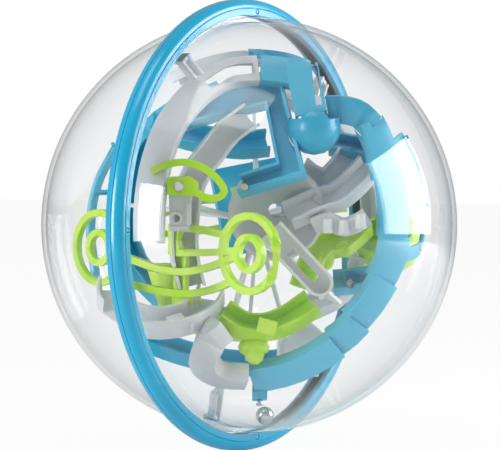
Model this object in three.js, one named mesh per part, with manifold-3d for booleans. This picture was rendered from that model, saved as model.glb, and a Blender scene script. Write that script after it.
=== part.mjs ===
// A clear ball with a marble maze inside, held by a ring round its seam.
// Millimetres, +Z up, origin at the middle of the sphere. The ring's axis is X.
import * as THREE from 'three';
import { mergeVertices } from 'three/addons/utils/BufferGeometryUtils.js';
import Module from 'manifold-3d';

const wasm = await Module();
wasm.setup();

// ---------- driving dimensions ----------
const SHELL_R = 92; // outside radius of the clear shells
const SHELL_WALL = 2;
const FLANGE_REACH = 3.4; // the shell's rim stands this far out into the ring
const FLANGE_THICK = 1.6;
const SEAM = 0.3; // open seam between the two sides
const GAP = 0.3; // between pieces that seat on each other

const RING_RADIAL = 8; // ring section, across the seam line
const RING_WIDTH = 9; // ring section, along the ring's axis
const RING_FLAT = 3.2; // flat side face, radial width
const PIN_R = 0.9;
const PIN_FLOOR = 0.6; // ring material left behind a pin hole
const PIN_PLACES = [0, 90, 180, 270]; // degrees round the ring

const BALL_D = 7.94; // 5/16 inch steel ball
const BALL_PLAY = 1.4; // side play of the ball in a track
const BALL_RUN = 0.4; // running gap between ball and shell
const BALL_PLANE = 8.3; // the ball's rolling circle stands this far off the seam plane
const LANE_CLEAR = 1.2; // free space under the ball that rolls inside the shell

const TRACK_WALL = 1.2;
const TRACK_SIDE = 6.5; // height of a track's side walls
const RAIL = 3; // green rail, width and thickness
const PEG_R = 0.9;
const PEG_ROOT = 1.5; // length of a peg inside its track
const STAY_R = 1.3; // round stays that join a piece to what carries it
const SCREW_R = 1.7;
const SLOT_WIDTH = 5; // slot in the outer arc's floor
const STRUT_WIDTH = 6.4;
const STRUT_SIDE = 3.4;
const HUB_WALL = 1.8;
const RIB_WIDTH = 7; // ribs of the core
const RIB_THICK = 1.6;
const FOOT_THICK = 1.6; // pad at the strut's outer end
const MAZE_TURN = THREE.MathUtils.degToRad(34); // maze turned against the ring, about Z

// ---------- sizes that follow ----------
const SHELL_INNER = SHELL_R - SHELL_WALL;
const TRACK_WIDTH = BALL_D + BALL_PLAY + 2 * TRACK_WALL;
const MAZE_R = SHELL_INNER - BALL_D - LANE_CLEAR; // the maze stays inside this
const PLACE = MAZE_R / 80; // maze places below are written for a reach of 80

// ---------- materials ----------
const plastic = (color, roughness) => new THREE.MeshStandardMaterial({ color, roughness, metalness: 0 });
const CLEAR = new THREE.MeshStandardMaterial({
  color: 0xf2f6f8, roughness: 0.05, transparent: true, opacity: 0.2,
});
const BLUE = plastic(0x0c9cc4, 0.32);
const GREEN = plastic(0x9fd321, 0.4);
const WHITE = plastic(0xd9dcde, 0.42);
const STEEL = new THREE.MeshStandardMaterial({ color: 0xc9ccd0, roughness: 0.12, metalness: 1 });

// ---------- solids ----------
const ROUND_STEPS = 11; // straight steps in half a turn
const up = new THREE.Vector3(0, 0, 1);
const at = (x, y, z) => new THREE.Vector3(x, y, z).multiplyScalar(PLACE);
const flat = (x, z) => new THREE.Vector2(x, z).multiplyScalar(PLACE);

function solid(geometry) {
  geometry.deleteAttribute('normal');
  geometry.deleteAttribute('uv');
  const merged = mergeVertices(geometry, 1e-4);
  const vertProperties = new Float32Array(merged.attributes.position.array);
  const made = new wasm.Manifold(
    new wasm.Mesh({ numProp: 3, vertProperties, triVerts: new Uint32Array(merged.index.array) }),
  );
  if (made.volume() > 0) return made;
  const turned = new Uint32Array(merged.index.array);
  for (let i = 0; i < turned.length; i += 3) {
    [turned[i + 1], turned[i + 2]] = [turned[i + 2], turned[i + 1]];
  }
  return new wasm.Manifold(new wasm.Mesh({ numProp: 3, vertProperties, triVerts: turned }));
}

const join = (...parts) => wasm.Manifold.union(parts.flat());
const cut = (body, ...tools) => wasm.Manifold.difference([body, ...tools.flat()]);

function box(centre, size, turn = [0, 0, 0]) {
  const geometry = new THREE.BoxGeometry(...size);
  geometry.applyMatrix4(new THREE.Matrix4().makeRotationFromEuler(new THREE.Euler(...turn)));
  geometry.translate(centre.x, centre.y, centre.z);
  return solid(geometry);
}

function cylinder(from, to, radius, endRadius = radius, sides = 14) {
  const axis = to.clone().sub(from);
  const geometry = new THREE.CylinderGeometry(endRadius, radius, axis.length(), sides);
  geometry.applyQuaternion(
    new THREE.Quaternion().setFromUnitVectors(new THREE.Vector3(0, 1, 0), axis.clone().normalize()),
  );
  const middle = from.clone().add(to).multiplyScalar(0.5);
  geometry.translate(middle.x, middle.y, middle.z);
  return solid(geometry);
}

function ellipsoid(centre, rx, ry, rz, sides = 20) {
  const geometry = new THREE.SphereGeometry(1, sides, Math.round(sides * 0.6));
  geometry.scale(rx, ry, rz);
  geometry.translate(centre.x, centre.y, centre.z);
  return solid(geometry);
}

// A curve whose section keeps its own "open" side turned where openTo(point) says.
class TrackLine extends THREE.CatmullRomCurve3 {
  constructor(points, openTo, closed = false) {
    super(points, closed, 'centripetal');
    this.openTo = openTo;
  }

  computeFrenetFrames(steps) {
    const tangents = [];
    const normals = [];
    const binormals = [];
    for (let i = 0; i <= steps; i++) {
      const tangent = this.getTangentAt(i / steps);
      const side = new THREE.Vector3().crossVectors(tangent, this.openTo(this.getPointAt(i / steps)));
      side.normalize();
      tangents.push(tangent);
      normals.push(side);
      binormals.push(new THREE.Vector3().crossVectors(side, tangent).normalize());
    }
    return { tangents, normals, binormals };
  }
}

const inward = (point) => point.clone().negate();
const towards = (x, y, z) => () => new THREE.Vector3(x, y, z);
const backAndIn = (point) => {
  return point.clone().normalize().multiplyScalar(-0.45).add(new THREE.Vector3(0, 0.9, 0));
};

function sweep(section, points, openTo, steps) {
  const shape = new THREE.Shape(section.map(([x, y]) => new THREE.Vector2(x, y)));
  const extrudePath = new TrackLine(points, openTo);
  return solid(new THREE.ExtrudeGeometry(shape, { steps, extrudePath, curveSegments: 1 }));
}

// U-shaped ball track; the points run along the outside of its floor.
function gutter(points, openTo, options = {}) {
  const { width = TRACK_WIDTH, side = TRACK_SIDE, steps = 12 } = options;
  const half = width / 2;
  const inner = half - TRACK_WALL;
  const section = [
    [-half, 0], [half, 0], [half, side], [inner, side],
    [inner, TRACK_WALL], [-inner, TRACK_WALL], [-inner, side], [-half, side],
  ];
  return sweep(section, points, openTo, steps);
}

function strap(points, openTo, width, thick, steps = 12) {
  const section = [[-width / 2, 0], [width / 2, 0], [width / 2, thick], [-width / 2, thick]];
  return sweep(section, points, openTo, steps);
}

// Outline of a band of the given width along a flat line; shift moves it sideways.
function band(points, width, shift = 0, steps = 0) {
  const line = steps ? new THREE.SplineCurve(points).getSpacedPoints(steps) : points;
  const edge = (offset) => line.map((point, i) => {
    const before = line[Math.max(i - 1, 0)];
    const after = line[Math.min(i + 1, line.length - 1)];
    const a = point.clone().sub(before).normalize();
    const b = after.clone().sub(point).normalize();
    const along = a.add(b).normalize();
    const reference = i ? point.clone().sub(before).normalize() : after.clone().sub(point).normalize();
    const mitre = offset / Math.max(along.dot(reference), 0.4);
    return new THREE.Vector2(point.x - along.y * mitre, point.y + along.x * mitre);
  });
  return new THREE.Shape([...edge(shift + width / 2), ...edge(shift - width / 2).reverse()]);
}

function disc(x, z, radius, hole = 0) {
  const shape = new THREE.Shape().absarc(x, z, radius, 0, 2 * Math.PI);
  if (hole) shape.holes.push(new THREE.Path().absarc(x, z, hole, 0, 2 * Math.PI, true));
  return shape;
}

// A flat shape drawn in x and z, standing upright from y = near to y = near + thick.
function upright(shape, near, thick) {
  const options = { depth: thick, bevelEnabled: false, curveSegments: ROUND_STEPS };
  const geometry = new THREE.ExtrudeGeometry(shape, options);
  geometry.rotateX(Math.PI / 2);
  geometry.translate(0, near + thick, 0);
  return solid(geometry);
}

function placed(body, matrix) {
  const mesh = body.getMesh();
  const geometry = new THREE.BufferGeometry();
  geometry.setAttribute('position', new THREE.BufferAttribute(new Float32Array(mesh.vertProperties), 3));
  geometry.setIndex(new THREE.BufferAttribute(new Uint32Array(mesh.triVerts), 1));
  return solid(geometry.applyMatrix4(matrix));
}

const tilted = (centre, pitch, yaw) => new THREE.Matrix4()
  .makeTranslation(centre.x, centre.y, centre.z)
  .multiply(new THREE.Matrix4().makeRotationZ(yaw))
  .multiply(new THREE.Matrix4().makeRotationX(pitch));

// Turned about X; the profile is drawn as (distance from X, place along X).
function turned(profile, sides) {
  const points = profile.map(([radius, x]) => new THREE.Vector2(radius, x));
  const geometry = new THREE.LatheGeometry(points, sides);
  geometry.rotateZ(-Math.PI / 2);
  return solid(geometry);
}

const arc = (radius, from, to, steps) => Array.from({ length: steps + 1 }, (_, i) => {
  const angle = from + (to - from) * (i / steps);
  return [radius * Math.sin(angle), radius * Math.cos(angle)];
});

// ---------- shells, ring and ball ----------
const SHELL_SIDES = 33;
const SHELL_STEPS = 8;
const RING_SIDES = 40;
// To the middle of the shell's inner facets, which are flat both ways.
const SHELL_REACH = SHELL_INNER * Math.cos(Math.PI / SHELL_SIDES) * Math.cos(Math.PI / (4 * SHELL_STEPS));
const FLANGE_R = SHELL_R + FLANGE_REACH;
const facetTo = (radius, sides) => radius / Math.cos(Math.PI / sides); // its flats clear radius
const RING_INNER = facetTo(SHELL_R + GAP, RING_SIDES);
const GROOVE_R = facetTo(FLANGE_R + GAP, RING_SIDES);
const GROOVE = SEAM / 2 + FLANGE_THICK + GAP; // the groove for the shell's rim ends this far off the seam
const PIN_LENGTH = RING_WIDTH / 2 - GROOVE - GAP - PIN_FLOOR;
const RING_R = SHELL_R + RING_RADIAL;
const side = (body, sign) => (sign > 0 ? body : placed(body, new THREE.Matrix4().makeScale(-1, 1, 1)));

function shell(sign) {
  const face = SEAM / 2;
  const edge = (radius, x) => Math.acos(x / radius);
  const outer = arc(SHELL_R, 0, edge(SHELL_R, face + FLANGE_THICK), SHELL_STEPS);
  const inner = arc(SHELL_INNER, edge(SHELL_INNER, face), 0, SHELL_STEPS);
  const flange = [[FLANGE_R, face + FLANGE_THICK], [FLANGE_R, face]];
  outer[0][0] = 0;
  inner[SHELL_STEPS][0] = 0;
  return side(turned([...outer, ...flange, ...inner], SHELL_SIDES), sign);
}

function ringHalf(sign) {
  const face = SEAM / 2;
  const half = RING_WIDTH / 2;
  const flatTop = RING_INNER + RING_FLAT;
  const rise = RING_R - flatTop;
  const round = [0.42, 0.75, 0.95].map((share) => {
    return [flatTop + rise * share, half * Math.sqrt(1 - share ** 3)];
  });
  const profile = [
    [RING_INNER, GROOVE], [RING_INNER, half], [flatTop, half], ...round, [RING_R, face],
    [GROOVE_R, face], [GROOVE_R, GROOVE],
  ];
  profile.push(profile[0]);
  const holes = PIN_PLACES.map((degrees) => pin(sign, degrees, PIN_R + GAP, PIN_LENGTH + GAP, 1));
  return cut(side(turned(profile, RING_SIDES), sign), holes);
}

// Pins stand in blind holes in the flat side faces of the ring.
function pin(sign, degrees, radius = PIN_R, length = PIN_LENGTH, proud = 0) {
  const angle = THREE.MathUtils.degToRad(degrees);
  const reach = RING_INNER + RING_FLAT * 0.55;
  const end = (x) => new THREE.Vector3(sign * x, reach * Math.sin(angle), reach * Math.cos(angle));
  return cylinder(end(RING_WIDTH / 2 - length), end(RING_WIDTH / 2 + proud), radius, radius, 12);
}

const BALL_PATH = SHELL_REACH - BALL_RUN - BALL_D / 2;
const ballPlace = new THREE.Vector3(BALL_PLANE, 0, -Math.sqrt(BALL_PATH ** 2 - BALL_PLANE ** 2));
const ball = () => ellipsoid(new THREE.Vector3(), BALL_D / 2, BALL_D / 2, BALL_D / 2, 16);

// ---------- struts between the seam and the maze ----------
// A point in the seam plane: degrees from the top towards the front.
function seamPoint(degrees, radius) {
  const angle = THREE.MathUtils.degToRad(degrees);
  const point = new THREE.Vector3(0, -radius * Math.sin(angle), radius * Math.cos(angle));
  return point.applyAxisAngle(up, -MAZE_TURN);
}

function strut(degrees, end) {
  const foot = seamPoint(degrees, SHELL_REACH - GAP);
  const neck = seamPoint(degrees, SHELL_INNER - 0.4 * (BALL_D + LANE_CLEAR));
  const across = new THREE.Vector3(Math.cos(MAZE_TURN), -Math.sin(MAZE_TURN), 0);
  const shaft = gutter([foot, neck, end], () => across, { width: STRUT_WIDTH, side: STRUT_SIDE, steps: 5 });
  const inset = seamPoint(degrees, SHELL_REACH - GAP - FOOT_THICK);
  const pad = cylinder(inset, foot, STRUT_WIDTH * 0.5, STRUT_WIDTH * 0.5, 14);
  return join(shaft, pad);
}

const topFrontStrut = () => strut(36, at(-22.5, -41, 62));
const bottomFrontStrut = () => strut(160, at(-15, -31, -69));
const topBackStrut = () => strut(-42, at(30, 44, 56));
const bottomBackStrut = () => strut(-142, at(26, 46, -52));

const stay = (from, to) => cylinder(from, to, STAY_R, STAY_R, 8);

// ---------- white tracks ----------
function whiteArcTrack() {
  const line = [
    at(4, -29, 67.6), at(-7.4, -31, 66.6), at(-17.5, -37, 61.4), at(-26, -44, 53.6), at(-33.2, -51.2, 43.3),
    at(-37.6, -57, 32), at(-40.3, -61, 20), at(-41.6, -63, 8), at(-41.6, -63.4, -5),
  ];
  const slotLine = line.slice(0, 3).map((point, i) => point.clone().add(at(-1.5 + 1.2 * i, -3, 1 - 0.4 * i)));
  const slot = strap(slotLine, backAndIn, SLOT_WIDTH, 3 * TRACK_WALL + 3, 6);
  const liner = line.slice(2).map((point) => point.clone().add(at(5.2, 4.5, -1)));
  return join(cut(gutter(line, backAndIn, { steps: 18 }), slot), strap(liner, backAndIn, 3.4, 2, 12));
}

function whiteFrontTrack() {
  const line = [
    at(-1, -22, 47), at(-10, -26, 40), at(-17, -31, 31), at(-23, -34, 23), at(-26.5, -34, 12),
    at(-28, -33, -2), at(-27.6, -32, -14), at(-25, -30, -25),
  ];
  return gutter(line, towards(0.15, -1, 0), { steps: 13, side: TRACK_SIDE + 1 });
}

function whiteBracket() {
  const outline = new THREE.Shape([
    flat(-32.6, -1), flat(-24.6, -1), flat(-23.4, 14), flat(-25, 21.5), flat(-32, 21.5), flat(-33, 13),
  ]);
  outline.holes.push(new THREE.Path().absarc(-30 * PLACE, 4.3 * PLACE, 1.6, 0, 2 * Math.PI, true));
  const plate = upright(outline, -57.5 * PLACE, 2);
  const collar = upright(disc(-30 * PLACE, 4.3 * PLACE, 2.8, 1.6), -58.6 * PLACE, 3);
  const leg = box(at(-24.9, -49, 6), [1.6, 18, 9]);
  const shelf = box(at(-28.6, -49, 0.4), [7, 18, 1.4]);
  return join(plate, collar, leg, shelf);
}

// The wide half-round bowl track at the lower left.
const BOWL_CENTRE = at(-37.5, -27, -31.5);
const BOWL_TILT = THREE.MathUtils.degToRad(33);

function bowlPoint(degrees, radius, height = 0) {
  const angle = THREE.MathUtils.degToRad(degrees);
  const point = new THREE.Vector3(radius * Math.cos(angle), radius * Math.sin(angle), height);
  return point.applyAxisAngle(new THREE.Vector3(1, 0, 0), BOWL_TILT).add(BOWL_CENTRE);
}

function whiteBowlTrack() {
  const radius = 21.5 * PLACE;
  const axis = new THREE.Vector3(0, -Math.sin(BOWL_TILT), Math.cos(BOWL_TILT));
  const line = [];
  for (let degrees = 165; degrees <= 378; degrees += 21.3) line.push(bowlPoint(degrees, radius));
  const track = gutter(line, () => axis, { steps: 20, side: TRACK_SIDE + 2.5 });
  const outside = radius + TRACK_WIDTH / 2 - 0.4;
  const peg = cylinder(bowlPoint(300, outside, 1), bowlPoint(300, outside, TRACK_SIDE), PEG_R * 1.2);
  const block = box(bowlPoint(290, radius - 1, 3), [7, 5, 5], [BOWL_TILT, 0, 0.5]);
  return join(track, peg, block);
}

function whiteCTrack() {
  const line = [
    at(-9, -47, -43), at(-15, -49, -48.5), at(-19.6, -46, -55.5), at(-18.4, -40.5, -62),
    at(-11.7, -36.5, -66), at(-1, -35, -66.8),
  ];
  return gutter(line, inward, { steps: 14, side: TRACK_SIDE + 1 });
}

function whiteLoopTrack() {
  const start = flat(9, -1.5);
  const end = flat(29.3, -23.2);
  const half = TRACK_WIDTH / 2;
  // The track's outline, grown or shrunk by inset, from near to near + thick.
  const filled = (inset, near, thick, from = start) => join(
    upright(band([from, end], TRACK_WIDTH - 2 * inset), near, thick),
    upright(disc(end.x, end.y, half - inset), near, thick),
  );
  const beyond = start.clone().add(flat(-2, 2));
  const rim = cut(
    filled(0, -TRACK_SIDE, TRACK_SIDE),
    filled(TRACK_WALL, -2 * TRACK_SIDE, 3 * TRACK_SIDE, beyond),
  );
  const slot = upright(band([flat(17, -10), flat(28, -21.8)], BALL_D * 0.45), -1, 3);
  const pegEnd = (y) => new THREE.Vector3(end.x + 1, y, end.y - half);
  const knob = cylinder(pegEnd(-1), pegEnd(-5.5), PEG_R * 1.3);
  const loop = join(cut(filled(0, 0, TRACK_WALL), slot), rim, knob);
  return placed(loop, tilted(at(0, -41, 0), THREE.MathUtils.degToRad(-4), 0));
}

function whiteArmTrack() {
  const line = [at(17, -27, 2.5), at(29, -25, 8), at(38.5, -22, 11), at(46, -19, 17), at(53, -16, 24.5)];
  return gutter(line, towards(-0.25, -0.8, 0.6), { steps: 14 });
}

function whiteForkTrack() {
  const line = [at(21, -12, 23), at(27, -13, 18.5), at(33, -13, 17), at(39, -12, 22), at(44, -9, 29)];
  return gutter(line, towards(0, -0.9, 0.5), { steps: 12 });
}

function whiteHandStop() {
  const line = [flat(27, -1), flat(33, 1), flat(40, -1.5), flat(46, 0.5), flat(50, 3)];
  const palm = upright(band(line, 7, 0, 12), 0, 7);
  const finger = (x, z) => cylinder(at(x, -1, z), at(x, -1, z + 6), 2.6, 2, 12);
  return placed(join(palm, finger(33, -3), finger(40, -3.5), finger(47, -1)), tilted(at(0, -37, 1), 0.15, 0));
}

function whitePanel() {
  const outline = new THREE.Shape([
    flat(12, -64), flat(12.5, -52), flat(16, -47), flat(22, -44.4), flat(28, -43.7), flat(32.4, -47.5),
    flat(34, -57), flat(29, -64),
  ]);
  const edge = [
    flat(12.6, -63), flat(13.1, -52.3), flat(16.4, -47.6), flat(22.2, -45), flat(27.8, -44.4), flat(31.8, -48),
    flat(33.3, -57),
  ];
  return join(upright(outline, 6 * PLACE, 1.8), upright(band(edge, 1.2), 4.6 * PLACE, 2));
}

// Barrel in the middle of the maze, and the ribs that carry the tracks round it.
function coreParts() {
  const front = at(3, -17, -2);
  const back = at(3, 26, -2);
  const radius = 9 * PLACE;
  const reach = at(0, 4, 0);
  const barrel = cut(
    cylinder(front, back, radius, radius, 16),
    cylinder(front.clone().sub(reach), back.clone().add(reach), radius - HUB_WALL, radius - HUB_WALL, 16),
  );
  const spokes = [
    [at(-4, -12, 2), at(-24, -32, 8)], [at(9, -12, 3), at(21, -24, 5)], [at(6, -12, -9), at(15, -41.4, -8.6)],
    [at(0, -10, -9), at(-8, -34, -39)], [at(5, -8, -9), at(16, 4, -49)], [at(2, 0, -10), at(-2, 12, -60)],
    [at(8, 10, 4), at(58, 38, 20)], [at(-5, 14, 2), at(-60, 38, 8)], [at(4, 2, 6), at(2, 4, 34)],
    [at(8, 20, -7), at(40, 46, -38)], [at(9, 2, -6), at(50, 2, -16)], [at(2, 14, 6), at(1, 11, 74.6)],
  ];
  return [barrel, ...spokes.map(([from, to]) => {
    const along = to.clone().sub(from);
    const face = Math.abs(along.z) > Math.abs(along.x) ? towards(1, 0, 0) : towards(0, 0, 1);
    return strap([from, from.clone().lerp(to, 0.5), to], face, RIB_WIDTH, RIB_THICK, 4);
  })];
}

// Shallow dish on the front of the barrel, with a raised lip and a window.
function whiteCoreDish() {
  const profile = [
    [3, 0], [12, 1.4], [18, 4.4], [21, 8.5], [19.6, 9.2], [16.8, 6], [11.6, 3.1], [3, 1.8], [3, 0],
  ];
  const geometry = new THREE.LatheGeometry(profile.map(([r, y]) => flat(r, y)), 22);
  geometry.rotateX(Math.PI);
  const body = placed(solid(geometry), tilted(at(11, -19, 7), 0.12, 0.1));
  return cut(body, box(at(12, -22, -9), [9, 20, 6], [0, 0.5, 0]));
}

// ---------- blue tracks ----------
function peg(place, direction, length = 4) {
  const way = direction.clone().normalize();
  const along = (distance) => place.clone().addScaledVector(way, distance);
  return cylinder(along(-PEG_ROOT), along(length - PEG_ROOT), PEG_R, PEG_R, 10);
}

function blueTopTrack() {
  const over = [at(4.8, -29, 67.6), at(10, -29, 67.4), at(16.5, -29, 66.4), at(26, -29, 63.5)];
  const down = [at(22, -30, 70.5), at(23.3, -32, 63), at(24.6, -34.5, 56), at(26, -37.5, 48)];
  const slit = box(at(28.6, -31, 60), [2.6, 14, 17], [0, -0.1, 0]);
  const wide = { steps: 8, side: TRACK_SIDE + 3, width: TRACK_WIDTH + 2 };
  const neck = cut(gutter(down, towards(0, 1, 0.2), wide), slit);
  return join(gutter(over, backAndIn, { steps: 8 }), neck);
}

function blueTopCap() {
  const line = [at(1, -6, 77), at(9, -4, 76.6), at(17, -1, 75.2), at(24.5, 3, 72.6)];
  const cap = gutter(line, inward, { steps: 10, side: 4 });
  const windows = [at(7, -4, 77), at(14, -2, 76), at(21, 1.5, 74)].map((centre) => {
    const tip = centre.clone().multiplyScalar(1.06);
    return cylinder(centre.clone().multiplyScalar(0.96), tip, 2.5, 2.5, 10);
  });
  return join(cut(cap, windows), stay(at(4.5, -4, 76), at(9, -27.8, 67)));
}

function blueDrum() {
  const centre = at(27.5, -31, 42);
  const radius = 11.5 * PLACE;
  const hollow = radius - 1.6;
  const skin = cut(
    ellipsoid(centre, radius, radius * 1.05, radius, 16),
    ellipsoid(centre, hollow, hollow, hollow, 16),
    box(centre.clone().add(at(0, 8, 9.5)), [3 * radius, 3 * radius, radius]),
    box(centre.clone().add(at(0, 13, 0)), [3 * radius, radius * 1.2, 3 * radius]),
  );
  return skin;
}

function blueArmTrack() {
  const line = [at(31.5, -29, 49.5), at(39, -30.5, 49.5), at(46.5, -31.5, 47.6), at(52, -32, 42.5)];
  const outerPeg = peg(at(48, -33, 54.5), at(1, -0.3, 0.3));
  const track = gutter(line, towards(0, 1, 0.1), { steps: 10, side: TRACK_SIDE + 2 });
  return join(track, outerPeg);
}

// Runs down the right side in six treads, each stepped under the one before.
function blueStairTrack() {
  const treads = [
    [at(51.6, -30.5, 45), at(57, -32, 35), at(60.5, -34.5, 22)],
    [at(60.5, -34.5, 22.5), at(62.4, -36.5, 10), at(62.6, -37.4, -4)],
    [at(62.6, -37.4, -3.5), at(61.3, -38.5, -13), at(57, -40, -23)],
    [at(57.3, -40, -22.5), at(52.1, -41, -32), at(45.4, -41, -41)],
    [at(45.8, -41, -40.5), at(41.7, -40.4, -45.8), at(36.4, -39.6, -50.6)],
    [at(36.8, -39.6, -50.2), at(26.8, -38.2, -57.4), at(15.3, -36.4, -62.8), at(1.2, -35.2, -66.3)],
  ];
  const step = 1.3;
  const face = (point) => point.clone().normalize().multiplyScalar(-0.6).add(new THREE.Vector3(0, 0.8, 0));
  const parts = treads.map((points) => {
    const last = points.length - 1;
    const sloped = points.map((point, i) => {
      return point.clone().addScaledVector(face(point).normalize(), -step * (1 - (2 * i) / last));
    });
    return gutter(sloped, face, { steps: 2 * last, side: TRACK_SIDE + 1 });
  });
  const pegs = [at(52, -34, -47), at(33, -30, -62)].map((place) => peg(place, place));
  return join(parts, pegs);
}

function blueRimRail() {
  const line = [at(68, -9, 38.6), at(73.6, -9, 26.5), at(76.8, -10, 9), at(76.4, -12, -1), at(74.6, -14, -10.5)];
  const rail = strap(line, inward, 7, 1.5, 16);
  const topWeb = strap([at(59.5, -26, 31), at(64, -17, 35), at(68, -9, 38.2)], inward, 6, 1.5, 5);
  const lowWeb = strap([at(66, -27, -12.5), at(71, -20, -11.5), at(74.4, -14, -10)], inward, 6, 1.5, 5);
  const pegs = [at(68.4, -10, 38.4), at(77, -10, 9)].map((place) => peg(place, place, 3));
  return join(rail, topWeb, lowWeb, pegs);
}

// The big square tray: three arms round an open middle.
function blueFrameTray() {
  const outer = [
    [-33.6, 3.4], [-31.4, 12.3], [-24.7, 19.5], [-13.7, 24.6], [6.7, 29.3], [21.3, -18.3], [-6.6, -27.2],
  ].map(([x, z]) => flat(x, z));
  const inner = [[-6.6, -18.7], [8.9, -13.5], [1.9, 12.9], [-18.5, 8.1], [-33.6, 3.4]].map(([x, z]) => {
    return flat(x, z);
  });
  const floor = upright(new THREE.Shape([...outer, ...inner.slice(0, -1)]), 0, TRACK_WALL);
  const outerWall = upright(band(outer, 1.5, -0.75), -TRACK_SIDE, TRACK_SIDE + 1);
  const innerWall = upright(band(inner, 1.3, -0.65), -TRACK_SIDE, TRACK_SIDE + 1);
  const tip = upright(disc(6.3 * PLACE, 28.6 * PLACE, 1.5), -TRACK_SIDE - 1.5, TRACK_SIDE + 2);
  const pitch = THREE.MathUtils.degToRad(-20);
  const yaw = THREE.MathUtils.degToRad(-13);
  return placed(join(floor, outerWall, innerWall, tip), tilted(at(5, -27, 38), pitch, yaw));
}

function blueInnerTrack() {
  const line = [at(-44, 4, 42), at(-30, 0, 38), at(-18, -2, 35), at(-4, -2, 33), at(8, 0, 34)];
  return gutter(line, towards(0, -0.75, 0.66), { steps: 14 });
}

function blueLeftArc() {
  const line = [at(-61, 28, 35), at(-68.5, 27, 21), at(-71.8, 27, 9.5), at(-72.8, 27, -5), at(-70.5, 27, -24)];
  const arcStrap = strap(line, inward, 6, 2, 16);
  const pegs = [line[0], line[4]].map((place) => {
    return peg(place.clone().multiplyScalar(0.985), at(-0.3, -1, 0.3), 7);
  });
  return join(arcStrap, pegs, stay(at(-69.8, 27.5, 14), at(-59.4, 43.2, 14)));
}

function blueBottomTrack() {
  const line = [at(-47, 14, -54), at(-30, 12, -60), at(-14, 11, -63.5), at(2, 12, -65), at(18, 14, -64)];
  return gutter(line, towards(0, -0.45, 0.9), { steps: 12 });
}

function blueCrossBar(low) {
  const line = low
    ? [at(37, -3, -27), at(45, -3, -26.5), at(54, -6, -25)]
    : [at(36, -4, 34), at(45, -6, 32), at(54, -12, 30)];
  const bar = gutter(line, towards(0, -0.8, 0.6), { steps: 5, width: TRACK_WIDTH - 2 });
  return low ? join(bar, stay(at(42, -2.5, -26), at(42, 2, -12.5))) : bar;
}

function blueClip() {
  const block = box(at(4.5, -29, -71.5), [6.5, 5.5, 6], [0.4, 0, 0]);
  const boss = cylinder(at(4.5, -28, -69), at(4.5, -30, -75), 2.6, 2.6, 14);
  return join(block, boss);
}

// ---------- green rails and troughs ----------
// The two-loop rail lies flat in a plane that faces the left front.
const RAIL_PLANE = 50;
const RAIL_YAW = THREE.MathUtils.degToRad(-44.5);
const railFrame = () => {
  const centre = new THREE.Vector3(Math.sin(RAIL_YAW), -Math.cos(RAIL_YAW), 0);
  return tilted(centre.multiplyScalar(RAIL_PLANE * PLACE), 0, RAIL_YAW);
};

function greenLoopRail() {
  const loops = [48, -44].map((x) => [
    disc(x * PLACE, -9.8 * PLACE, 16.9 * PLACE, 16.9 * PLACE - RAIL),
    disc(x * PLACE, -9.8 * PLACE, 8.2 * PLACE, 8.2 * PLACE - RAIL),
  ]);
  const lines = [
    [flat(34, -2.6), flat(22, -0.8), flat(8, 0)],
    [flat(40.5, -8.8), flat(28, -9.8), flat(16, -10.4), flat(5, -10.6)],
    [flat(40.6, -11), flat(28, -15.2), flat(12, -18.4), flat(-4, -18), flat(-20, -15), flat(-37, -11)],
    [flat(37.6, -21.6), flat(26, -25.4), flat(12, -27.6), flat(-4, -27.4), flat(-20, -25.6), flat(-36, -23.6)],
  ];
  const rails = lines.map((points) => upright(band(points, RAIL, 0, 2 * points.length), 0, RAIL));
  const endPlate = new THREE.Shape([flat(1, 1.5), flat(9, 1.5), flat(6.5, -5), flat(9, -11.5), flat(1, -11.5)]);
  const end = upright(endPlate, 0, RAIL);
  const rings = loops.flat().map((shape) => upright(shape, 0, RAIL));
  const body = join(rings, rails, end);
  const openings = [48, -44].map((x) => {
    return upright(disc(x * PLACE, -9.8 * PLACE, 8.2 * PLACE - RAIL), -RAIL, 3 * RAIL);
  });
  return placed(cut(body, openings), railFrame());
}

function railClip() {
  const back = RAIL + GAP;
  const bar = (x, z, wide, high) => {
    return box(new THREE.Vector3(x * PLACE, back + 1.2, z * PLACE), [wide, 2.4, high]);
  };
  const parts = [
    bar(4.5, -14, 8, 4), bar(2, -21, 2.4, 19 * PLACE), bar(7, -21, 2.4, 19 * PLACE), bar(5.5, -30.5, 11, 4),
  ];
  const tail = box(new THREE.Vector3(4.5 * PLACE, back + 5, -31 * PLACE), [7, 9, 2.6]);
  return placed(join(parts, tail), railFrame());
}

function greenHook() {
  const hook = [
    flat(-40, 23.5), flat(-34.5, 26), flat(-26.6, 27.3), flat(-18.3, 24.8), flat(-12.1, 19.4), flat(-10.2, 15),
    flat(-13.5, 12.6), flat(-18, 13), flat(-21.5, 15),
  ];
  const plate = new THREE.Shape([
    flat(-33.5, 14), flat(-26, 13.6), flat(-21, 13.8), flat(-20.5, 19), flat(-24, 21.6), flat(-33.5, 21.2),
  ]);
  return join(upright(band(hook, RAIL, 0, 30), -63 * PLACE, RAIL), upright(plate, -62.5 * PLACE, RAIL * 0.8));
}

const hookPeg = () => cylinder(at(-28.7, -65, 17.4), at(-28.7, -53, 17.4), 1.7, 1.7, 14);

function greenChute() {
  const profile = [[0, -21.5], [2, -20.5], [6, -8], [8.4, 0], [6.9, 0], [4.6, -7.5], [0.8, -18], [0, -18.6]];
  const geometry = new THREE.LatheGeometry(profile.map(([r, z]) => flat(r, z)), 14);
  geometry.rotateX(Math.PI / 2);
  geometry.scale(1, 0.75, 1);
  const place = at(-36, -25.5, -15.8);
  geometry.translate(place.x, place.y, place.z);
  return solid(geometry);
}

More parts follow.
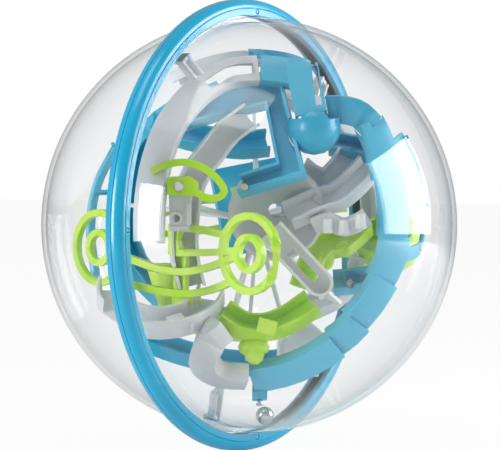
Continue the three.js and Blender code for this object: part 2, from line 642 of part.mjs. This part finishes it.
function greenBumpTrack() {
  const line = [at(-12.5, -35, -38), at(-4, -35, -43.6), at(6, -34, -45), at(16.5, -33, -41.6), at(28, -31, -34)];
  const track = gutter(line, towards(0.1, -0.55, 0.8), { steps: 11 });
  const lobe = join(
    ellipsoid(at(2, -38, -50.5), 7, 3.6, 4.4, 12),
    ellipsoid(at(2.4, -38.5, -53.5), 4.2, 3.4, 4.6, 10),
  );
  const block = box(at(7.5, -41, -41.5), [8, 5, 6], [0, 0.25, 0]);
  const stud = cylinder(at(11.5, -46, -42.5), at(11.5, -46, -48), PEG_R * 1.2, PEG_R * 1.2, 10);
  return join(track, lobe, block, stud);
}

function greenWavyTrack() {
  const line = [at(50, -2, -2), at(43, -7, -8), at(34, -8, -11), at(28.5, -11, -18), at(25, -12, -28)];
  const track = gutter(line, towards(-0.3, -0.8, 0.5), { steps: 10 });
  const lumps = [ellipsoid(at(41, -13, -10), 4.5, 3, 4, 10), ellipsoid(at(33, -14.5, -15), 4, 3, 4.5, 10)];
  return join(track, lumps, stay(at(40, -8.2, -9), at(38, 3, -13)));
}

function greenBowl() {
  const radius = 15.6 * PLACE;
  const centre = at(61.5, 6, -6.5);
  const hollow = radius - 1.6;
  const whole = cut(
    ellipsoid(centre, radius, radius, radius, 16),
    ellipsoid(centre, hollow, hollow, hollow, 16),
  );
  const lid = box(centre.clone().add(at(-6, -12, 14)), [60, 34, 30], [0.55, -0.35, 0]);
  return cut(whole, lid);
}

// ---------- tracks on the far side ----------
function backBlueTrack() {
  const line = [
    at(-14, 44, 62), at(-40, 42, 50), at(-57, 42, 28), at(-61, 44, 4), at(-55, 48, -20), at(-38, 53, -39),
    at(-14, 58, -48),
  ];
  return gutter(line, inward, { steps: 15 });
}

function backWhiteTrack() {
  const line = [
    at(14, 42, 63), at(36, 43, 51.5), at(54, 44, 30), at(60, 45, 8), at(57, 48, -15), at(44, 53, -34),
    at(22, 58, -45),
  ];
  return gutter(line, inward, { steps: 15 });
}

function backGreenLoop() {
  const x = 4 * PLACE;
  const rings = [17, 8].map((radius) => disc(x, 6 * PLACE, radius * PLACE, radius * PLACE - RAIL));
  const rails = [
    [flat(-44, 2), flat(-26, 9), flat(-11, 10)], [flat(-44, -6), flat(-26, -5), flat(-10, -2)],
    [flat(12, 5), flat(20, 4), flat(46, 6)], [flat(16, -6), flat(30, -6), flat(47, -3)],
  ];
  const eyes = upright(disc(x, 6 * PLACE, 8 * PLACE - RAIL), 0, 3 * RAIL);
  const shapes = [...rings, ...rails.map((points) => band(points, RAIL, 0, 12))];
  const body = join(shapes.map((shape) => upright(shape, RAIL, RAIL)));
  const loop = placed(cut(body, eyes), tilted(at(0, 58, 0), 0, 0));
  return join(loop, stay(at(-43, 62.5, -6), at(-59.4, 45.1, -4)), stay(at(45, 62.5, -3.4), at(59, 45.7, 1)));
}

function backGreenTrough() {
  const line = [at(-34, 30, -44), at(-18, 34, -50), at(0, 36, -52), at(18, 35, -49)];
  const trough = gutter(line, towards(0, 0.5, 0.85), { steps: 12 });
  return join(trough, stay(at(-20, 34.5, -49), at(-20, 56.6, -45.6)));
}

function topWhiteTrack() {
  const line = [at(-34, 14, 67), at(-20, 10, 73), at(-6, 8, 76), at(8, 12, 75.6), at(18, 20, 72)];
  return gutter(line, inward, { steps: 14, side: 5 });
}

function backBlueSquare() {
  const outer = [[-20, 20], [16, 27], [24, -12], [-12, -20]].map(([x, z]) => flat(x, z));
  const inner = [[-11, 12], [9, 16], [14, -5], [-6, -10]].map(([x, z]) => flat(x, z));
  const grown = (points, share) => {
    const middle = points.reduce((sum, point) => sum.clone().add(point)).multiplyScalar(1 / points.length);
    return points.map((point) => point.clone().sub(middle).multiplyScalar(share).add(middle));
  };
  const frame = (from, to, depth) => cut(
    upright(new THREE.Shape(from), 0, depth),
    upright(new THREE.Shape(to), -depth, 3 * depth),
  );
  const body = join(
    frame(outer, inner, TRACK_WALL),
    frame(outer, grown(outer, 0.92), TRACK_SIDE),
    frame(grown(inner, 1.13), inner, TRACK_SIDE),
  );
  const square = placed(body, tilted(at(2, 40, 4), 0, 0.2));
  return join(square, stay(at(7, 40.8, -9.4), at(6.5, 22, -9.2)));
}

const screws = [
  [at(4.5, -30.2, -76), at(4.5, -29.4, -73.2)], [at(-2, -41, 17), at(-2, -34, 18.5)],
  [at(51, -12, 31), at(50, -6, 30)], [at(44, -11, -25), at(44, -5, -26)],
];
const screw = ([head, foot]) => {
  const seat = head.clone().lerp(foot, 0.3);
  const shank = cylinder(head.clone().lerp(foot, 0.15), foot, SCREW_R * 0.5, SCREW_R * 0.5, 6);
  return join(cylinder(head, seat, SCREW_R, SCREW_R, 12), shank);
};

// ---------- assembly ----------
const within = ellipsoid(new THREE.Vector3(), MAZE_R, MAZE_R, MAZE_R, 36);
const FINEST = 0.08; // detail below this is smoothed away where pieces were cut
// Copies moved to the corners of a tetrahedron clear a piece on every side.
const shifts = [[0, 0, 0], [1, 1, 1], [1, -1, -1], [-1, 1, -1], [-1, -1, 1]].map((way) => {
  return way.map((k) => k * GAP);
});

function boxesMeet(a, b) {
  const p = a.boundingBox();
  const q = b.boundingBox();
  return [0, 1, 2].every((k) => p.min[k] < q.max[k] + GAP && q.min[k] < p.max[k] + GAP);
}

// A piece is relieved all round by GAP where an earlier piece passes through its place.
// The library's copies are freed as they are used up, because its memory is small.
function relieved(whole, earlier) {
  let body = whole.simplify(FINEST);
  for (const other of earlier) {
    if (!boxesMeet(body, other) || body.minGap(other, GAP) >= GAP) continue;
    const copies = shifts.map((shift) => other.translate(shift));
    const left = cut(body, copies);
    const smooth = left.simplify(FINEST);
    [...copies, left, body].forEach((spent) => spent.delete());
    body = smooth;
  }
  return body;
}

const largest = (body) => body.decompose().sort((a, b) => b.volume() - a.volume())[0];

// Trims what reaches out of the maze's own sphere.
function kept(body) {
  const { vertProperties } = body.getMesh();
  for (let i = 0; i < vertProperties.length; i += 3) {
    if (Math.hypot(vertProperties[i], vertProperties[i + 1], vertProperties[i + 2]) > MAZE_R) {
      return body.intersect(within);
    }
  }
  return body;
}

function mesh(name, body, material) {
  const made = body.getMesh();
  const geometry = new THREE.BufferGeometry();
  geometry.setAttribute('position', new THREE.BufferAttribute(new Float32Array(made.vertProperties), 3));
  geometry.setIndex(new THREE.BufferAttribute(new Uint32Array(made.triVerts), 1));
  geometry.computeVertexNormals();
  const result = new THREE.Mesh(geometry, material);
  result.name = name;
  return result;
}

const mazePieces = [
  ['hook_peg', hookPeg, WHITE],
  ['green_loop_rail', greenLoopRail, GREEN],
  ['white_arc_track', whiteArcTrack, WHITE],
  ['blue_top_track', blueTopTrack, BLUE],
  ['blue_drum', blueDrum, BLUE],
  ['blue_arm_track', blueArmTrack, BLUE],
  ['blue_stair_track', blueStairTrack, BLUE],
  ['blue_rim_rail', blueRimRail, BLUE],
  ['blue_frame_tray', blueFrameTray, BLUE],
  ['white_front_track', whiteFrontTrack, WHITE],
  ['green_hook', greenHook, GREEN],
  ['white_bracket', whiteBracket, WHITE],
  ['rail_clip', railClip, GREEN],
  ['green_chute', greenChute, GREEN],
  ['white_bowl_track', whiteBowlTrack, WHITE],
  ['white_c_track', whiteCTrack, WHITE],
  ['white_loop_track', whiteLoopTrack, WHITE],
  ['green_bump_track', greenBumpTrack, GREEN],
  ['white_hand_stop', whiteHandStop, WHITE],
  ['white_arm_track', whiteArmTrack, WHITE],
  ['white_fork_track', whiteForkTrack, WHITE],
  ['green_wavy_track', greenWavyTrack, GREEN],
  ['green_bowl', greenBowl, GREEN],
  ['blue_top_cap', blueTopCap, BLUE],
  ['blue_inner_track', blueInnerTrack, BLUE],
  ['blue_left_arc', blueLeftArc, BLUE],
  ['blue_bottom_track', blueBottomTrack, BLUE],
  ['blue_cross_bar_upper', () => blueCrossBar(false), BLUE],
  ['blue_cross_bar_lower', () => blueCrossBar(true), BLUE],
  ['blue_clip', blueClip, BLUE],
  ['white_panel', whitePanel, WHITE],
  ['back_blue_track', backBlueTrack, BLUE],
  ['back_white_track', backWhiteTrack, WHITE],
  ['back_green_loop', backGreenLoop, GREEN],
  ['back_green_trough', backGreenTrough, GREEN],
  ['back_blue_square', backBlueSquare, BLUE],
  ['top_white_track', topWhiteTrack, WHITE],
  ['white_core_dish', whiteCoreDish, WHITE],
];
const struts = [
  ['top_front_strut', topFrontStrut], ['bottom_front_strut', bottomFrontStrut],
  ['top_back_strut', topBackStrut], ['bottom_back_strut', bottomBackStrut],
];

const object = new THREE.Group();
const maze = new THREE.Group();
maze.rotation.z = MAZE_TURN;
object.add(maze);

for (const [name, sign] of [['left', -1], ['right', 1]]) {
  object.add(mesh(`${name}_shell`, shell(sign), CLEAR));
  object.add(mesh(`${name}_ring_half`, ringHalf(sign), BLUE));
}
PIN_PLACES.forEach((degrees, i) => object.add(mesh(`ring_pin_${i + 1}`, pin(1, degrees), BLUE)));

const steelBall = mesh('steel_ball', ball(), STEEL);
steelBall.position.copy(ballPlace);
object.add(steelBall);

const done = [];
screws.forEach((ends, i) => {
  const body = screw(ends);
  done.push(body);
  maze.add(mesh(`joint_screw_${i + 1}`, body, STEEL));
});
for (const [name, build, material] of mazePieces) {
  const body = largest(relieved(kept(build()), done));
  done.push(body);
  maze.add(mesh(name, body, material));
}
const core = largest(join(coreParts().map((part) => relieved(part, done)))).simplify(FINEST);
done.push(core);
maze.add(mesh('core_hub', core, WHITE));
for (const [name, build] of struts) {
  const body = largest(relieved(build(), done));
  done.push(body);
  maze.add(mesh(name, body, WHITE));
}

export default object;
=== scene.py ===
"""Looks for the clear maze ball.

Smooth shells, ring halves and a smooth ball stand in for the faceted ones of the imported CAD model. The maze
keeps its CAD meshes, and gets moulded plastic finishes and rounded edges.
"""
import math

import bpy
import bmesh
from mathutils import Matrix, Vector


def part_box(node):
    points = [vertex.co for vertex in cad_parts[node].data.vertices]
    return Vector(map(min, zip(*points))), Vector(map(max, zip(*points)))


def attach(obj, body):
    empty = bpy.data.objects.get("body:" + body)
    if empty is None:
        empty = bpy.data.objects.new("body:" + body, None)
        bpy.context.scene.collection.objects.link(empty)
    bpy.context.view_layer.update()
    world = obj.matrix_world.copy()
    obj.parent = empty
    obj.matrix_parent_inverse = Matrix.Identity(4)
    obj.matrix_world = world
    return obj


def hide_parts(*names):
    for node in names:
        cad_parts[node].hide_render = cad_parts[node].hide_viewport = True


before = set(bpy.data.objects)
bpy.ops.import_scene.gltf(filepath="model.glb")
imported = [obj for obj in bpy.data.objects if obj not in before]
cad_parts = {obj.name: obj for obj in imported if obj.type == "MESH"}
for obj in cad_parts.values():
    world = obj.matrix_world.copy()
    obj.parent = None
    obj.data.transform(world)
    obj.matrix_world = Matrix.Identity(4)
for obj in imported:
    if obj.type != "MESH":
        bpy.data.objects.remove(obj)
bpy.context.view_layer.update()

# ---------- sizes, in metres ----------
SHELL_R = 0.092
SHELL_WALL = 0.002
SHELL_SIDES = 144
SHELL_STEPS = 56  # from the pole to the rim
POLE_R = 1e-5  # the shell's profile starts this far off the axis
SEAM = 0.0003
FLANGE_THICK = 0.0016
FLANGE_REACH = 0.0034
FLANGE_EDGE = 0.0003  # bevel of the rim flange
GAP = 0.0003
RING_WIDTH = 0.009
RING_FLAT = 0.0032
RING_SIDES = 180
RING_STEPS = 14  # round the outer edge
RING_BEVEL = 0.0005
RING_INSET = 0.0001  # the side faces lie this far in, so that the pins stand proud
RING_FULLNESS = 0.8  # exponent of the outer edge; 1 would be an ellipse
RING_SEAM_EDGE = 0.0002
LINE = 0.0003  # half the width, and the depth, of the line between the side face and the outer edge
PIN_R = 0.0009
PIN_PLACES = (0, 90, 180, 270)
PIN_PLACE = 0.55  # of the way over the ring's flat side face
BALL_SIDES = 64
EDGE = 0.00028  # rounding of the moulded edges
ROUND_EDGE = 0.0010  # rounding of the green rails, whose section is nearly round
ROUND_RAILS = ("green_loop_rail", "green_hook", "back_green_loop")
BEVEL_ANGLE = 38  # degrees; edges that bend less aren't rounded
CRISP_ANGLE = 31  # degrees; edges that bend more stay crisp in the shading of the CAD pieces
DOME_CRISP = 35
RING_CRISP = 32
BALL_CRISP = 60
HOLE_SIDES = 32
FLOOR_DROP = 0.0002  # from the ring's lowest point to the floor
FLOOR_HALF = 6
WELD = 1e-6

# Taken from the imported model.
RING_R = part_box("right_ring_half")[1].z
ball_low, ball_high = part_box("steel_ball")
BALL_R = (ball_high.x - ball_low.x) / 2
pin_low, pin_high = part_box("ring_pin_1")
PIN_REACH = (pin_low.z + pin_high.z) / 2  # from the X axis
PIN_LENGTH = pin_high.x - pin_low.x

# ---------- other settings ----------
CLEAR_IOR = 1.42
PLASTIC_IOR = 1.5
COAT_ROUGHNESS = 0.08
FLOW_SCALE = 28  # soft flow marks, a few across the maze
GRAIN_SCALE = 2600  # the mould's fine grain
ROOM_LIGHT = 0.40  # strength of the room's light; the backdrop that the camera sees has 1
FLOOR_GLOW = 0.93  # share of the floor that the camera sees as plain white


# ---------- materials ----------
def tree_of(name):
    material = bpy.data.materials.new(name)
    material.use_nodes = True
    nodes = material.node_tree.nodes
    return material, nodes, material.node_tree.links, nodes["Principled BSDF"]


def noise(nodes, links, scale, detail, rough=0.55):
    made = nodes.new("ShaderNodeTexNoise")
    made.inputs["Scale"].default_value = scale
    made.inputs["Detail"].default_value = detail
    made.inputs["Roughness"].default_value = rough
    links.new(nodes.new("ShaderNodeTexCoord").outputs["Object"], made.inputs["Vector"])
    return made.outputs["Fac"]


def ramp(nodes, links, value, low, high, first=0.0, last=1.0):
    made = nodes.new("ShaderNodeMapRange")
    made.inputs["From Min"].default_value = low
    made.inputs["From Max"].default_value = high
    made.inputs["To Min"].default_value = first
    made.inputs["To Max"].default_value = last
    links.new(value, made.inputs["Value"])
    return made.outputs["Result"]


def mix(nodes, links, factor, first, last):
    """Colour between first, a colour or a socket, and last, a colour."""
    made = nodes.new("ShaderNodeMix")
    made.data_type = "RGBA"
    if isinstance(first, bpy.types.NodeSocket):
        links.new(first, made.inputs["A"])
    else:
        made.inputs["A"].default_value = (*first, 1)
    made.inputs["B"].default_value = (*last, 1)
    links.new(factor, made.inputs["Factor"])
    return made.outputs["Result"]


def bump(nodes, links, height, strength, distance):
    made = nodes.new("ShaderNodeBump")
    made.inputs["Strength"].default_value = strength
    made.inputs["Distance"].default_value = distance
    links.new(height, made.inputs["Height"])
    return made.outputs["Normal"]


def moulded(name, colour, dark, light, roughness, subsurface=0.0, scatter=(0.004, 0.004, 0.004), coat=0.0):
    """Injection-moulded plastic: faint flow marks, a fine grain, and a painted highlight that makes the edges
    lighter.
    """
    material, nodes, links, shader = tree_of(name)
    flow = noise(nodes, links, FLOW_SCALE, 3)
    grain = noise(nodes, links, GRAIN_SCALE, 2, 0.6)
    # Painted highlight: convex edges (high pointiness) are mixed towards the lighter third colour, light, as
    # if lit.
    edge_highlight_mask = nodes.new("ShaderNodeNewGeometry").outputs["Pointiness"]
    base = mix(nodes, links, ramp(nodes, links, flow, 0.3, 0.7), dark, colour)
    edge_highlit_colour = mix(nodes, links, ramp(nodes, links, edge_highlight_mask, 0.52, 0.6, 0.0, 0.5), base, light)
    links.new(edge_highlit_colour, shader.inputs["Base Color"])
    gloss = ramp(nodes, links, flow, 0.25, 0.75, roughness - 0.05, roughness + 0.07)
    links.new(gloss, shader.inputs["Roughness"])
    links.new(bump(nodes, links, grain, 0.12, 0.00008), shader.inputs["Normal"])
    shader.inputs["IOR"].default_value = PLASTIC_IOR
    shader.inputs["Coat Weight"].default_value = coat
    shader.inputs["Coat Roughness"].default_value = COAT_ROUGHNESS
    if subsurface:
        shader.inputs["Subsurface Weight"].default_value = subsurface
        shader.inputs["Subsurface Radius"].default_value = scatter
        shader.inputs["Subsurface Scale"].default_value = 1.0
    return material


def clear():
    """Clear polystyrene: its thin walls let light through without bending it, and mirror the lights."""
    material, nodes, links, shader = tree_of("clear_polystyrene")
    smear = noise(nodes, links, 16, 3)
    haze = noise(nodes, links, 900, 2)
    nodes.remove(shader)
    glossy = nodes.new("ShaderNodeBsdfGlossy")
    glossy.inputs["Color"].default_value = (1, 1, 1, 1)
    links.new(ramp(nodes, links, smear, 0.35, 0.7, 0.015, 0.05), glossy.inputs["Roughness"])
    links.new(bump(nodes, links, haze, 0.02, 0.00003), glossy.inputs["Normal"])
    through = nodes.new("ShaderNodeBsdfTransparent")
    through.inputs["Color"].default_value = (0.985, 0.99, 0.993, 1)
    # The wall mirrors as much on its inner face as on its outer one.
    facing = nodes.new("ShaderNodeNewGeometry").outputs["Backfacing"]
    fresnel = nodes.new("ShaderNodeFresnel")
    links.new(ramp(nodes, links, facing, 0, 1, CLEAR_IOR, 1 / CLEAR_IOR), fresnel.inputs["IOR"])
    blend = nodes.new("ShaderNodeMixShader")
    links.new(fresnel.outputs["Fac"], blend.inputs["Fac"])
    links.new(through.outputs["BSDF"], blend.inputs[1])
    links.new(glossy.outputs["BSDF"], blend.inputs[2])
    links.new(blend.outputs["Shader"], nodes["Material Output"].inputs["Surface"])
    return material


def steel(name, colour, low, high, scale):
    material, nodes, links, shader = tree_of(name)
    scuff = noise(nodes, links, scale, 5)
    shader.inputs["Metallic"].default_value = 1.0
    bright = tuple(min(1, c * 1.25) for c in colour)
    links.new(mix(nodes, links, scuff, colour, bright), shader.inputs["Base Color"])
    links.new(ramp(nodes, links, scuff, 0.3, 0.7, low, high), shader.inputs["Roughness"])
    links.new(bump(nodes, links, scuff, 0.05, 0.00004), shader.inputs["Normal"])
    return material


CLEAR = clear()
# The third colour of each moulded finish is the painted highlight colour of its edges.
RING = moulded("ring_blue", (0.0, 0.40, 0.66), (0.0, 0.36, 0.60), (0.16, 0.62, 0.84), 0.24, coat=0.3)
BLUE = moulded("maze_blue", (0.0, 0.39, 0.62), (0.0, 0.33, 0.54), (0.18, 0.64, 0.84), 0.30)
GREEN = moulded("maze_green", (0.48, 0.80, 0.01), (0.40, 0.72, 0.01), (0.75, 0.94, 0.20), 0.30,
                0.25, (0.003, 0.004, 0.001))
WHITE = moulded("maze_white", (0.66, 0.685, 0.70), (0.60, 0.62, 0.64), (0.90, 0.91, 0.92), 0.33, 0.08)
BALL = steel("ball_steel", (0.60, 0.61, 0.63), 0.04, 0.13, 300)
SCREW = steel("screw_steel", (0.50, 0.50, 0.51), 0.20, 0.36, 800)


# ---------- building ----------
def add(name, mesh, material, body="frame", smooth=None):
    piece = bpy.data.objects.new(name, mesh)
    bpy.context.scene.collection.objects.link(piece)
    mesh.materials.clear()
    mesh.materials.append(material)
    if smooth is not None:
        shade(mesh, smooth)
    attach(piece, body)
    return piece


def shade(mesh, angle):
    """Smooth shading, except across edges that bend by more than angle degrees."""
    mesh.polygons.foreach_set("use_smooth", [True] * len(mesh.polygons))
    mesh.update()
    work = bmesh.new()
    work.from_mesh(mesh)
    limit = math.radians(angle)
    for edge in work.edges:
        edge.smooth = len(edge.link_faces) == 2 and edge.calc_face_angle(0) < limit
    work.to_mesh(mesh)
    work.free()


def turned(name, profile, sides, sign):
    """Closed profile of (distance from X, place along X), turned about X. sign -1 makes the left one."""
    work = bmesh.new()
    rows = []
    for i in range(sides):
        angle = 2 * math.pi * i / sides
        row = []
        for radius, x in profile:
            row.append(work.verts.new((sign * x, radius * math.cos(angle), radius * math.sin(angle))))
        rows.append(row)
    count = len(profile)
    for i in range(sides):
        for j in range(count):
            k = (j + 1) % count
            corners = (rows[i][j], rows[i][k], rows[(i + 1) % sides][k], rows[(i + 1) % sides][j])
            work.faces.new(corners)
    bmesh.ops.remove_doubles(work, verts=work.verts, dist=1e-7)
    bmesh.ops.recalc_face_normals(work, faces=work.faces)
    mesh = bpy.data.meshes.new(name)
    work.to_mesh(mesh)
    work.free()
    return mesh


def shell_profile():
    """From the pole over the outside to the flange, round it, and back along the inside."""
    steps = SHELL_STEPS
    start = math.acos((SEAM / 2 + FLANGE_THICK) / SHELL_R)
    inner_r = SHELL_R - SHELL_WALL
    end = math.acos((SEAM / 2) / inner_r)
    outside = [(max(POLE_R, SHELL_R * math.sin(start * i / steps)), SHELL_R * math.cos(start * i / steps))
               for i in range(steps + 1)]
    reach = SHELL_R + FLANGE_REACH
    top = SEAM / 2 + FLANGE_THICK
    flange = [(reach - FLANGE_EDGE, top), (reach, top - FLANGE_EDGE), (reach, SEAM / 2)]
    inside = [(max(POLE_R, inner_r * math.sin(end * i / steps)), inner_r * math.cos(end * i / steps))
              for i in range(steps, -1, -1)]
    return outside + flange + inside


def ring_profile():
    """Section of one half of the ring: flat side face next to the shell, then a round outer edge."""
    face = SEAM / 2
    half = RING_WIDTH / 2
    side = half - RING_INSET
    inner = PIN_REACH - RING_FLAT * PIN_PLACE
    flat_top = inner + RING_FLAT
    groove = face + FLANGE_THICK + GAP
    rise = RING_R - flat_top
    points = [
        (inner, groove), (inner, half - RING_BEVEL), (inner + RING_BEVEL * 0.6, side),
        (flat_top - LINE, side), (flat_top, side - LINE), (flat_top + LINE, side),
    ]
    for i in range(1, RING_STEPS):
        angle = math.radians(90 * i / RING_STEPS)
        out = flat_top + LINE + (rise - LINE) * math.sin(angle)
        points.append((out, face + (side - face) * math.cos(angle) ** RING_FULLNESS))
    reach = SHELL_R + FLANGE_REACH + GAP
    points += [(RING_R, face + RING_SEAM_EDGE), (RING_R - RING_SEAM_EDGE, face)]
    points += [(reach, face), (reach, groove)]
    return points


def hole_cutter(sign):
    """Rods that reach into one half of the ring where the pins stand."""
    radius = PIN_R + GAP
    work = bmesh.new()
    for degrees in PIN_PLACES:
        angle = math.radians(degrees)
        centre = Vector((sign * RING_WIDTH / 2, PIN_REACH * math.sin(angle), PIN_REACH * math.cos(angle)))
        matrix = Matrix.Translation(centre) @ Matrix.Rotation(math.radians(90), 4, "Y")
        bmesh.ops.create_cone(
            work, cap_ends=True, segments=HOLE_SIDES, radius1=radius, radius2=radius,
            depth=2 * (PIN_LENGTH + GAP), matrix=matrix,
        )
    mesh = bpy.data.meshes.new("cutter")
    work.to_mesh(mesh)
    work.free()
    tool = bpy.data.objects.new("cutter", mesh)
    bpy.context.scene.collection.objects.link(tool)
    return tool


def carve(piece, tool):
    """Cuts tool out of piece and leaves nothing of the tool behind."""
    modifier = piece.modifiers.new("holes", "BOOLEAN")
    modifier.operation = "DIFFERENCE"
    modifier.object = tool
    modifier.solver = "EXACT"
    bpy.context.view_layer.update()
    evaluated = piece.evaluated_get(bpy.context.evaluated_depsgraph_get())
    cut = bpy.data.meshes.new_from_object(evaluated)
    piece.modifiers.clear()
    piece.data = cut
    bpy.data.objects.remove(tool)


for side, sign in (("left", -1), ("right", 1)):
    dome_mesh = turned("dome", shell_profile(), SHELL_SIDES, sign)
    dome = add(f"{side}_clear_dome", dome_mesh, CLEAR, smooth=DOME_CRISP)
    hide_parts(f"{side}_shell")
    rim = add(f"{side}_grip_ring", turned("rim", ring_profile(), RING_SIDES, sign), RING)
    carve(rim, hole_cutter(sign))
    shade(rim.data, RING_CRISP)
    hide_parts(f"{side}_ring_half")


# Ball, with enough facets to mirror the room without corners.
ball_work = bmesh.new()
bmesh.ops.create_uvsphere(
    ball_work, u_segments=BALL_SIDES, v_segments=BALL_SIDES // 2, radius=BALL_R,
    matrix=Matrix.Translation((ball_low + ball_high) / 2),
)
ball_mesh = bpy.data.meshes.new("ball")
ball_work.to_mesh(ball_mesh)
ball_work.free()
marble = add("rolling_ball", ball_mesh, BALL, body="ball", smooth=BALL_CRISP)
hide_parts("steel_ball")


# ---------- finish of the CAD pieces that stay in view ----------
def finish_cad(node, piece):
    if piece.hide_render:
        return
    if node.startswith("ring_pin"):
        material, slot = RING, "ring_blue"
    elif node.startswith("joint_screw"):
        material, slot = SCREW, "screw_steel"
    elif "green" in node or node == "rail_clip":
        material, slot = GREEN, "maze_green"
    elif "blue" in node:
        material, slot = BLUE, "maze_blue"
    else:
        material, slot = WHITE, "maze_white"
    piece.data.materials.clear()
    piece.data.materials.append(material)
    weld = piece.modifiers.new("weld", "WELD")
    weld.merge_threshold = WELD
    bevel = piece.modifiers.new("edges", "BEVEL")
    bevel.limit_method = "ANGLE"
    bevel.angle_limit = math.radians(BEVEL_ANGLE)
    round_rail = node in ROUND_RAILS
    bevel.width = ROUND_EDGE if round_rail else EDGE
    bevel.segments = 4 if round_rail else 2
    bevel.use_clamp_overlap = True
    piece.modifiers.new("smooth", "NODES").node_group = SMOOTHER


def smoother(angle):
    """Node group that shades every face smooth and keeps edges that bend by more than angle degrees crisp."""
    group = bpy.data.node_groups.new("smooth_by_angle", "GeometryNodeTree")
    group.interface.new_socket("Geometry", in_out="INPUT", socket_type="NodeSocketGeometry")
    group.interface.new_socket("Geometry", in_out="OUTPUT", socket_type="NodeSocketGeometry")
    start = group.nodes.new("NodeGroupInput")
    end = group.nodes.new("NodeGroupOutput")
    faces = group.nodes.new("GeometryNodeSetShadeSmooth")
    faces.domain = "FACE"
    edges = group.nodes.new("GeometryNodeSetShadeSmooth")
    edges.domain = "EDGE"
    edges.inputs["Shade Smooth"].default_value = False
    bend = group.nodes.new("GeometryNodeInputMeshEdgeAngle")
    sharp = group.nodes.new("FunctionNodeCompare")
    sharp.operation = "GREATER_THAN"
    sharp.inputs[1].default_value = math.radians(angle)
    group.links.new(start.outputs[0], faces.inputs["Geometry"])
    group.links.new(faces.outputs["Geometry"], edges.inputs["Geometry"])
    group.links.new(bend.outputs["Unsigned Angle"], sharp.inputs[0])
    group.links.new(sharp.outputs["Result"], edges.inputs["Selection"])
    group.links.new(edges.outputs["Geometry"], end.inputs[0])
    return group


SMOOTHER = smoother(CRISP_ANGLE)
for node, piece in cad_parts.items():
    finish_cad(node, piece)


# ---------- studio ----------
def area(name, place, size, energy):
    """A rectangular lamp at place that faces the object."""
    light = bpy.data.lights.new(name, "AREA")
    light.shape = "RECTANGLE"
    light.size, light.size_y = size
    light.energy = energy
    lamp = bpy.data.objects.new(name, light)
    bpy.context.scene.collection.objects.link(lamp)
    lamp.location = place
    lamp.rotation_euler = place.to_track_quat("Z", "Y").to_euler()


AZIMUTH = math.radians(34.06)
ELEVATION = math.radians(1.53)
DISTANCE = 0.89425
LENS, SENSOR = 144.8, 36  # millimetres
SHIFT = 0.0016
level = math.cos(ELEVATION)
back = Vector((math.sin(AZIMUTH) * level, -math.cos(AZIMUTH) * level, math.sin(ELEVATION)))
right = Vector((math.cos(AZIMUTH), math.sin(AZIMUTH), 0))
up = back.cross(right)

camera_data = bpy.data.cameras.new("camera")
camera = bpy.data.objects.new("camera", camera_data)
bpy.context.scene.collection.objects.link(camera)
camera.location = back * DISTANCE
camera.rotation_euler = back.to_track_quat("Z", "Y").to_euler()
camera_data.lens = LENS
camera_data.sensor_width = SENSOR
camera_data.shift_x = SHIFT
bpy.context.scene.camera = camera


def from_view(x, y, z):
    """A place given as right, up and towards the camera."""
    return right * x + up * y + back * z


# Softboxes: a tall one at the left and one at the right, whose mirror images stand on the shells.
area("left_softbox", from_view(-0.74, 0.06, 0.52), (0.26, 0.48), 4.4)
area("right_softbox", from_view(0.90, 0.20, -0.06), (0.62, 0.52), 7.5)
area("top_fill", from_view(-0.2, 1.2, 0.5), (0.8, 0.6), 4.5)

world = bpy.data.worlds.new("world")
bpy.context.scene.world = world
world.use_nodes = True
# The backdrop is plain white, and the room's own light is weaker, so that the softboxes model the shapes.
world_nodes, world_links = world.node_tree.nodes, world.node_tree.links
seen = world_nodes.new("ShaderNodeLightPath").outputs["Is Camera Ray"]
backdrop = world_nodes["Background"]
world_links.new(ramp(world_nodes, world_links, seen, 0, 1, ROOM_LIGHT, 1.0), backdrop.inputs["Strength"])
backdrop.inputs["Color"].default_value = (1, 1, 1, 1)

floor_mesh = bpy.data.meshes.new("floor")
floor_work = bmesh.new()
bmesh.ops.create_grid(floor_work, x_segments=1, y_segments=1, size=FLOOR_HALF)
floor_work.to_mesh(floor_mesh)
floor_work.free()
floor = bpy.data.objects.new("floor", floor_mesh)
bpy.context.scene.collection.objects.link(floor)
floor.location = (0, 0, -RING_R - FLOOR_DROP)
floor_material, floor_nodes, floor_links, floor_shader = tree_of("floor_white")
mottle = noise(floor_nodes, floor_links, 3, 2)
floor_white = mix(floor_nodes, floor_links, mottle, (0.92, 0.92, 0.92), (0.95, 0.95, 0.95))
floor_links.new(floor_white, floor_shader.inputs["Base Color"])
floor_shader.inputs["Roughness"].default_value = 0.9
# Most of what the camera sees of the floor is the backdrop's own white, so that only a faint shadow shows.
glow = floor_nodes.new("ShaderNodeEmission")
floor_seen = floor_nodes.new("ShaderNodeLightPath").outputs["Is Camera Ray"]
floor_blend = floor_nodes.new("ShaderNodeMixShader")
floor_links.new(ramp(floor_nodes, floor_links, floor_seen, 0, 1, 0.0, FLOOR_GLOW), floor_blend.inputs["Fac"])
floor_links.new(floor_shader.outputs["BSDF"], floor_blend.inputs[1])
floor_links.new(glow.outputs["Emission"], floor_blend.inputs[2])
floor_links.new(floor_blend.outputs["Shader"], floor_nodes["Material Output"].inputs["Surface"])
floor_mesh.materials.append(floor_material)

bpy.context.scene.view_settings.view_transform = "Standard"
